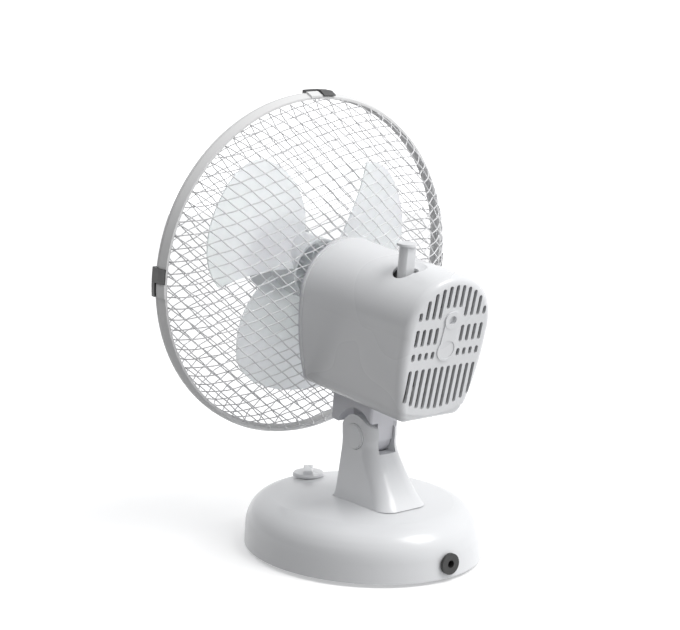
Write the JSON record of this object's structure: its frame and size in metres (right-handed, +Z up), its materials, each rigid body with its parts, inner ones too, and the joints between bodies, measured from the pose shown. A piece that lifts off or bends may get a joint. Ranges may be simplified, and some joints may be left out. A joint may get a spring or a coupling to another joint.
{
  "type": "desk fan",
  "caption": "Desk fan with a wire-mesh guard, translucent blades, a vented motor cover, an oscillating head and a tilting neck on an oval base.",
  "frame": {"origin": "on the ground, under the middle of the bounding box", "axes": "+Z up, the fan blows towards -Y, +X is the side of the oscillation knob"},
  "size_m": [0.2844, 0.2255, 0.36],
  "materials": {
    "cover_white": "injection moulded white plastic, soft gloss",
    "base_white": "injection moulded white plastic, soft gloss",
    "neck_white": "moulded white nylon",
    "rim_white": "moulded light grey-white plastic",
    "wire_white": "white powder coated steel wire",
    "clip_steel": "dark grey spring steel",
    "blade_clear": "translucent pale plastic",
    "badge_white": "white moulded disc",
    "inner_steel": "pressed and turned steel",
    "lamination": "stacked electrical steel",
    "copper_winding": "enamelled copper wire",
    "rotor_alu": "cast aluminium rotor cage on steel",
    "bronze": "sintered bronze",
    "gear_nylon": "natural acetal",
    "black_plastic": "black moulded plastic",
    "screw_steel": "zinc plated steel",
    "foot_rubber": "black rubber",
    "ballast": "cast iron weight",
    "terminal_white": "moulded terminal block",
    "capacitor_body": "black capacitor case"
  },
  "bodies": {
    "base": {"base_cover": "base_white", "base_plate": "base_white", "base_screws": "screw_steel", "rubber_feet": "foot_rubber", "ballast_weight": "ballast", "column": "base_white", "column_screws": "screw_steel", "tilt_bolt": "screw_steel", "tilt_nut": "screw_steel", "pivot_cap_right": "base_white", "pivot_cap_left": "base_white", "switch_body": "black_plastic", "cord_grommet": "black_plastic", "terminal_block": "terminal_white"},
    "neck": {"neck_bracket": "neck_white", "swivel_screw": "screw_steel"},
    "head": {"rear_cover": "cover_white", "lower_cover": "cover_white", "front_plate": "neck_white", "cover_screw": "screw_steel", "hub_screws": "screw_steel", "rear_grille_ring": "rim_white", "rear_grille_hub": "wire_white", "rear_mesh_wires_a": "wire_white", "rear_mesh_wires_b": "wire_white", "front_grille_ring": "rim_white", "front_mesh_wires_a": "wire_white", "front_mesh_wires_b": "wire_white", "front_badge": "badge_white", "grille_clips": "clip_steel", "front_motor_bracket": "inner_steel", "rear_motor_bracket": "inner_steel", "stator_core": "lamination", "stator_windings": "copper_winding", "motor_bolts": "screw_steel", "shaft_bearings": "bronze", "capacitor": "capacitor_body", "capacitor_strap": "inner_steel", "gearbox_case": "black_plastic", "gearbox_lid": "black_plastic", "gearbox_screws": "screw_steel", "swivel_pin": "inner_steel"},
    "rotor": {"rotor_core": "rotor_alu", "motor_shaft": "inner_steel", "fan_blade": "blade_clear", "blade_nut": "neck_white", "drive_pin": "screw_steel"},
    "clutch": {"worm_wheel": "gear_nylon", "clutch_shaft": "inner_steel"},
    "osc_knob": {"oscillation_knob": "cover_white"},
    "crank": {"crank_gear": "gear_nylon", "crank_arm": "inner_steel"},
    "link": {"crank_link": "inner_steel"},
    "speed_control": {"speed_knob": "cover_white", "switch_shaft": "inner_steel"}
  },
  "joints": [
    {"name": "head_tilt", "type": "hinge", "parent": "base", "child": "neck", "pos_m": [0, 0.0134, 0.095], "axis": [1, 0, 0], "range_deg": [-13, 9]},
    {"name": "oscillation", "type": "hinge", "parent": "neck", "child": "head", "pos_m": [0, 0.01792, 0.13072], "axis": [0, 0.1255, 0.9921], "range_deg": [-40, 40]},
    {"name": "blade_spin", "type": "hinge", "parent": "head", "child": "rotor", "pos_m": [0, -0.06977, 0.21841], "axis": [0, 0.9921, -0.1255], "continuous": true},
    {"name": "worm_wheel_turn", "type": "hinge", "parent": "head", "child": "clutch", "pos_m": [0.016, 0.06912, 0.20084], "axis": [0, 0.1255, 0.9921], "continuous": true},
    {"name": "crank_turn", "type": "hinge", "parent": "head", "child": "crank", "pos_m": [0, 0.06611, 0.17703], "axis": [0, 0.1255, 0.9921], "continuous": true},
    {"name": "oscillation_knob_pull", "type": "slide", "parent": "head", "child": "osc_knob", "axis": [0, 0.1255, 0.9921], "range_m": [0, 0.006]},
    {"name": "link_swing", "type": "hinge", "parent": "neck", "child": "link", "pos_m": [0.0124, 0.01829, 0.13369], "axis": [0, 0.1255, 0.9921], "range_deg": [-38, 38]},
    {"name": "speed_knob_turn", "type": "hinge", "parent": "base", "child": "speed_control", "pos_m": [0, -0.0686, 0.045], "axis": [0, 0, -1], "range_deg": [0, 90]}
  ],
  "couplings": [
    {"joint": "worm_wheel_turn", "follows": "blade_spin", "ratio": 0.033333},
    {"joint": "crank_turn", "follows": "blade_spin", "ratio": -0.0083333},
    {"joint": "link_swing", "follows": "oscillation", "ratio": 0.94}
  ]
}
